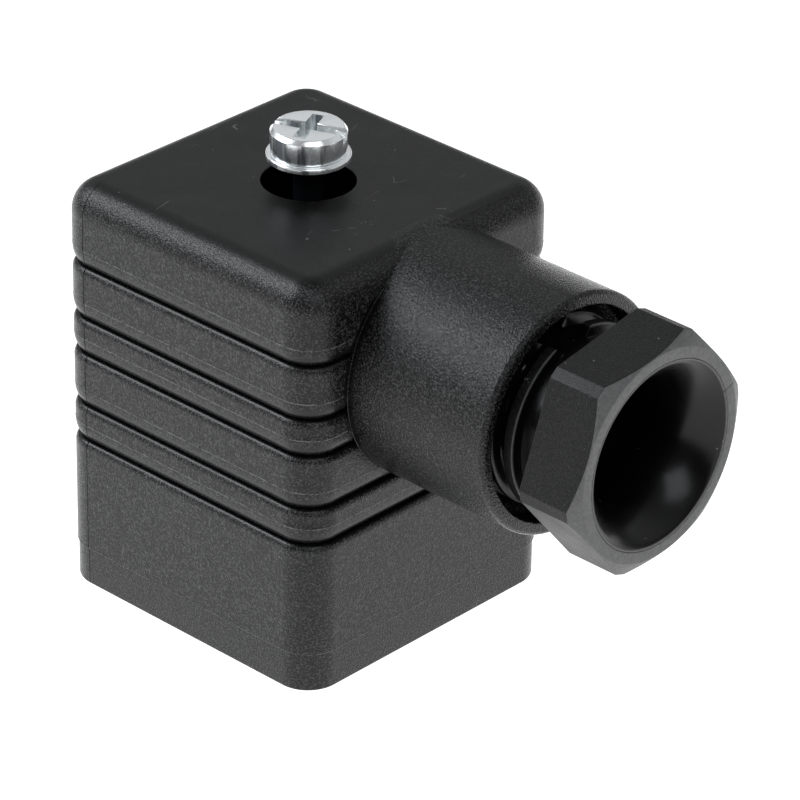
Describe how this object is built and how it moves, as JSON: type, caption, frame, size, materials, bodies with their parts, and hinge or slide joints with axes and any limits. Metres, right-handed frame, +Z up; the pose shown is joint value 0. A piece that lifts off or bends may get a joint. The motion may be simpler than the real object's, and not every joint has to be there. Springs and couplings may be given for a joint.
{
  "type": "solenoid valve connector",
  "caption": "Square right-angle cable connector for a solenoid valve coil, with ribbed housing, side cable gland and central fixing screw.",
  "frame": {"origin": "centre of the mating plane at the foot of the housing, on the fixing screw's axis", "axes": "+Z up along the fixing screw towards its head, +X along the cable gland's axis, outwards"},
  "size_m": [0.0499, 0.0274, 0.0395],
  "materials": {
    "housing_plastic": "glass-filled polyamide, fine spark-eroded grain on the sides, satin on top",
    "nut_plastic": "moulded polyamide, matte outside, glossy in the flared bore",
    "insert_plastic": "glass-filled polyamide, plain",
    "ring_plastic": "natural acetal, smooth",
    "gasket_rubber": "moulded nitrile rubber",
    "zinc_steel": "bright bluish zinc plating",
    "tinned_contact": "tin-plated copper alloy",
    "brass_terminal": "machined brass"
  },
  "bodies": {
    "housing": {"housing": "housing_plastic", "fixing_screw_seal": "gasket_rubber", "gland_grommet": "gasket_rubber"},
    "insert": {"contact_insert": "insert_plastic", "flange_gasket": "gasket_rubber", "contact_1": "tinned_contact", "contact_2": "tinned_contact", "contact_3": "tinned_contact", "contact_earth": "tinned_contact", "terminal_box_1": "brass_terminal", "terminal_box_2": "brass_terminal", "terminal_box_3": "brass_terminal", "terminal_box_earth": "brass_terminal"},
    "screw_washer": {"fixing_screw_washer": "zinc_steel"},
    "fixing_screw": {"fixing_screw": "zinc_steel"},
    "thrust_ring": {"gland_thrust_ring": "ring_plastic"},
    "gland_nut": {"gland_nut": "nut_plastic"},
    "clamp_1": {"clamp_plate_1": "tinned_contact"},
    "terminal_screw_1": {"terminal_screw_1": "zinc_steel"},
    "clamp_2": {"clamp_plate_2": "tinned_contact"},
    "terminal_screw_2": {"terminal_screw_2": "zinc_steel"},
    "clamp_3": {"clamp_plate_3": "tinned_contact"},
    "terminal_screw_3": {"terminal_screw_3": "zinc_steel"},
    "clamp_earth": {"clamp_plate_earth": "tinned_contact"},
    "terminal_screw_earth": {"terminal_screw_earth": "zinc_steel"}
  },
  "joints": [
    {"name": "insert_pull", "type": "slide", "parent": "housing", "child": "insert", "axis": [0, 0, -1], "range_m": [0, 0.028]},
    {"name": "screw_lift", "type": "slide", "parent": "housing", "child": "screw_washer", "axis": [0, 0, 1], "range_m": [-0.0071, 0.0022]},
    {"name": "screw_spin", "type": "hinge", "parent": "screw_washer", "child": "fixing_screw", "pos_m": [0, 0, 0.03745], "axis": [0, 0, 1], "continuous": true},
    {"name": "gland_travel", "type": "slide", "parent": "housing", "child": "thrust_ring", "axis": [1, 0, 0], "range_m": [-0.0031, 0.0021], "deforming": ["gland_grommet"]},
    {"name": "nut_turn", "type": "hinge", "parent": "thrust_ring", "child": "gland_nut", "pos_m": [0.031, 0, 0.02515], "axis": [1, 0, 0], "range_deg": [-792.5, 537.2]},
    {"name": "clamp_travel_1", "type": "slide", "parent": "insert", "child": "clamp_1", "axis": [0, 0, 1], "range_m": [-0.0021, 0]},
    {"name": "terminal_turn_1", "type": "hinge", "parent": "clamp_1", "child": "terminal_screw_1", "pos_m": [0, 0.0074, 0.0178], "axis": [0, 0, 1], "range_deg": [-1681, 1]},
    {"name": "clamp_travel_2", "type": "slide", "parent": "insert", "child": "clamp_2", "axis": [0, 0, 1], "range_m": [-0.0021, 0]},
    {"name": "terminal_turn_2", "type": "hinge", "parent": "clamp_2", "child": "terminal_screw_2", "pos_m": [0, -0.0074, 0.0178], "axis": [0, 0, 1], "range_deg": [-1681, 1]},
    {"name": "clamp_travel_3", "type": "slide", "parent": "insert", "child": "clamp_3", "axis": [0, 0, 1], "range_m": [-0.0021, 0]},
    {"name": "terminal_turn_3", "type": "hinge", "parent": "clamp_3", "child": "terminal_screw_3", "pos_m": [0.0074, 0, 0.0178], "axis": [0, 0, 1], "range_deg": [-1681, 1]},
    {"name": "clamp_travel_earth", "type": "slide", "parent": "insert", "child": "clamp_earth", "axis": [0, 0, 1], "range_m": [-0.0021, 0]},
    {"name": "terminal_turn_earth", "type": "hinge", "parent": "clamp_earth", "child": "terminal_screw_earth", "pos_m": [-0.0074, 0, 0.0178], "axis": [0, 0, 1], "range_deg": [-1681, 1]}
  ],
  "couplings": [
    {"joint": "nut_turn", "follows": "gland_travel", "rad_per_m": 4456.2},
    {"joint": "terminal_turn_1", "follows": "clamp_travel_1", "rad_per_m": 13963},
    {"joint": "terminal_turn_2", "follows": "clamp_travel_2", "rad_per_m": 13963},
    {"joint": "terminal_turn_3", "follows": "clamp_travel_3", "rad_per_m": 13963},
    {"joint": "terminal_turn_earth", "follows": "clamp_travel_earth", "rad_per_m": 13963}
  ]
}
